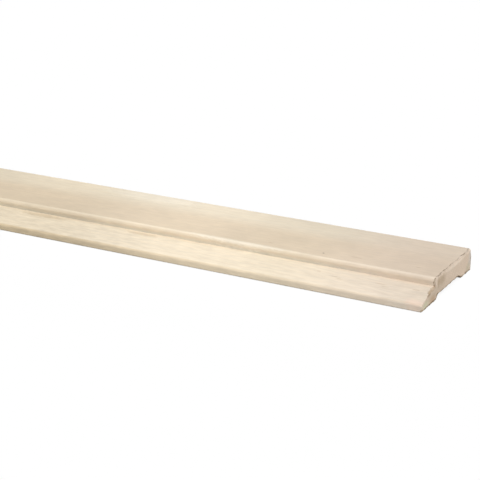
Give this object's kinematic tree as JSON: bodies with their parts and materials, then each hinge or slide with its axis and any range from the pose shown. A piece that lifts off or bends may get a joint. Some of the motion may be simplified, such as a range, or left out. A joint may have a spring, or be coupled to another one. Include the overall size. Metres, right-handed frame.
{
  "type": "architrave",
  "caption": "Length of planed softwood architrave: flat field, quarter-round bead, sloping lip with a rounded nose, relieved back, square-cut ends.",
  "frame": {"origin": "on the plane of the back's feet, at the middle of the length and of the width", "axes": "+X runs along the stock, +Y crosses it from the thin nose to the thick back edge, +Z rises from the back to the moulded face"},
  "size_m": [2.1, 0.07, 0.013],
  "materials": {
    "planed_softwood": "bare planed softwood, matt, ends left from the saw"
  },
  "bodies": {
    "root": {"architrave": "planed_softwood"}
  },
  "joints": []
}
